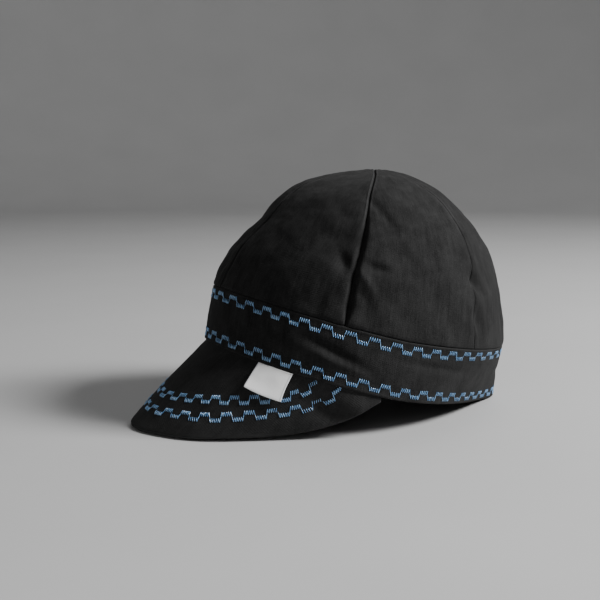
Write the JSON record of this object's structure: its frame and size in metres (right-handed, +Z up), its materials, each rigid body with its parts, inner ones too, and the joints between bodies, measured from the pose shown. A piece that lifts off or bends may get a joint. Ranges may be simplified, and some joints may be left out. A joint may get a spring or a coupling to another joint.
{
  "type": "welding cap",
  "caption": "Soft six-panel cotton cap with a wide folded band, a short curved peak lying on the surface and a small woven label beside the band.",
  "frame": {"origin": "on the surface that the cap rests on, under the middle of the whole cap", "axes": "+Z up, -Y towards the tip of the peak, +X towards the wearer's left"},
  "size_m": [0.1642, 0.2564, 0.1555],
  "materials": {
    "cotton": "black cotton twill, matt and slightly washed",
    "woven_ribbon": "white satin ribbon, folded over"
  },
  "bodies": {
    "root": {"crown_panel_front_left": "cotton", "crown_panel_side_left": "cotton", "crown_panel_back_left": "cotton", "crown_panel_back_right": "cotton", "crown_panel_side_right": "cotton", "crown_panel_front_right": "cotton", "band": "cotton", "peak": "cotton", "label": "woven_ribbon"}
  },
  "joints": []
}
